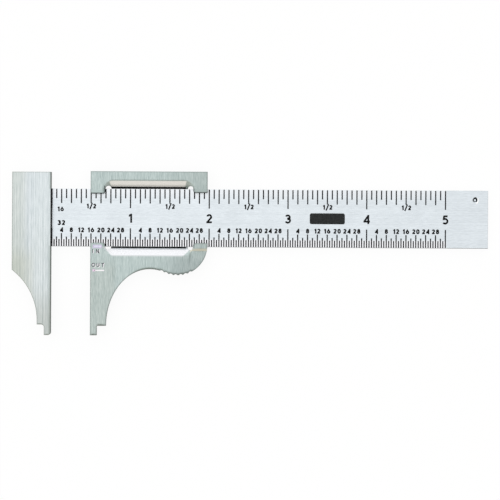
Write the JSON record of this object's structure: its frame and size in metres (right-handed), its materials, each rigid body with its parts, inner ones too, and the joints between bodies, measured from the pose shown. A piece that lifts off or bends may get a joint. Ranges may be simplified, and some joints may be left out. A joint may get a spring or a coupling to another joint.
{
  "type": "slide caliper",
  "caption": "Pocket slide caliper in stainless sheet: graduated beam, fixed jaw, and a pressed sliding jaw with a thumb rest and nibs for inside sizes.",
  "frame": {"origin": "on the fixed jaw's measuring face, at the beam's centreline, half-way through the fixed jaw's thickness", "axes": "+X along the beam from the fixed jaw to its free end, +Y up the scale and away from the jaw tips, +Z out of the graduated front"},
  "size_m": [0.1532, 0.0528, 0.003],
  "materials": {
    "beam_steel": "satin, brushed along the beam",
    "fixed_jaw_steel": "brushed across the beam",
    "sliding_jaw_steel": "brushed across the beam",
    "black_enamel": "enamel in the etched marks"
  },
  "bodies": {
    "beam": {"beam": "beam_steel", "fixed_jaw": "fixed_jaw_steel", "sixteenth_lines": "black_enamel", "thirty_second_lines": "black_enamel", "plain_panel": "black_enamel"},
    "slide": {"sliding_jaw": "sliding_jaw_steel"}
  },
  "joints": [
    {"name": "jaw_slide", "type": "slide", "parent": "beam", "child": "slide", "axis": [1, 0, 0], "range_m": [-0.0127, 0.0915]}
  ]
}
